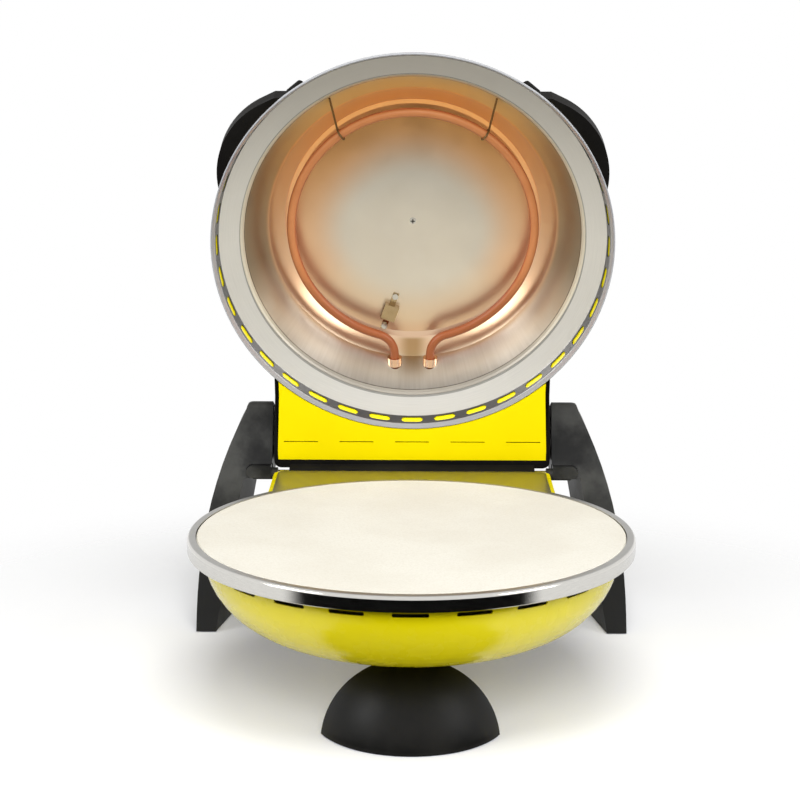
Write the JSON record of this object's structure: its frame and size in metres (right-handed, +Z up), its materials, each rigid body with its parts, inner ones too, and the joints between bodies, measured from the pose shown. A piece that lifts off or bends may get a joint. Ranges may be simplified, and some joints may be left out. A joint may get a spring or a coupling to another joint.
{
  "type": "electric pizza maker",
  "caption": "Round clam-shell electric pizza oven standing open: stone in the lower half, tube heater in the hinged lid, knobs on the rear box.",
  "frame": {"origin": "middle of the footprint's bounding box, on the table", "axes": "+Z up, +Y towards the hinge and the knobs, +X to the right seen from the front"},
  "size_m": [0.351, 0.4306, 0.4671],
  "materials": {
    "yellow_enamel": "gloss",
    "polished_steel": "polished",
    "satin_steel": "satin",
    "tempered_steel": "spun, heat tinted",
    "refractory_stone": "matt",
    "white_ceramic": "matt",
    "heater_tube": "hot, matt",
    "black_plastic": "matt",
    "black_metal": "matt",
    "rubber": "matt",
    "screw_steel": "bright",
    "copper": "dull",
    "grey_plastic": "matt",
    "red_lens": "clear gloss"
  },
  "bodies": {
    "base": {"lower_shell": "yellow_enamel", "lower_rim_ring": "polished_steel", "baking_stone": "refractory_stone", "reflector_pan": "satin_steel", "lower_heater": "heater_tube", "heater_clips": "satin_steel", "terminal_block": "white_ceramic", "front_foot": "black_plastic", "front_foot_pad": "rubber", "foot_screws": "screw_steel", "left_leg": "black_plastic", "right_leg": "black_plastic", "leg_pads": "rubber", "cross_beam": "black_metal", "beam_screws": "screw_steel", "cord_gland": "rubber", "hinge_arms": "black_metal", "hinge_pins": "screw_steel", "lid_stops": "rubber"},
    "lid": {"upper_shell": "yellow_enamel", "upper_rim_ring": "satin_steel", "heating_chamber": "tempered_steel", "upper_heater": "heater_tube", "heater_ferrules": "satin_steel", "heater_hooks": "satin_steel", "sensor_clip": "polished_steel", "sensor_bulb": "copper", "sensor_capillary": "copper", "clip_screws": "screw_steel", "centre_screw": "screw_steel", "spacer_posts": "screw_steel", "control_housing": "black_plastic", "housing_base_panel": "yellow_enamel", "thermostat_body": "grey_plastic", "timer_body": "grey_plastic", "indicator_lamp": "red_lens", "handle": "black_plastic", "handle_screws": "screw_steel"},
    "thermostat_dial": {"thermostat_knob": "black_plastic"},
    "timer_dial": {"timer_knob": "black_plastic"}
  },
  "joints": [
    {"name": "lid_hinge", "type": "hinge", "parent": "base", "child": "lid", "pos_m": [0, 0.14317, 0.123], "axis": [1, 0, 0], "range_deg": [0, 74.3]},
    {"name": "thermostat_turn", "type": "hinge", "parent": "lid", "child": "thermostat_dial", "pos_m": [-0.058, 0.19452, 0.17794], "axis": [0, 0.9627, 0.2706], "range_deg": [-270, 0]},
    {"name": "timer_turn", "type": "hinge", "parent": "lid", "child": "timer_dial", "pos_m": [0.058, 0.19452, 0.17794], "axis": [0, 0.9627, 0.2706], "range_deg": [-300, 0]}
  ]
}
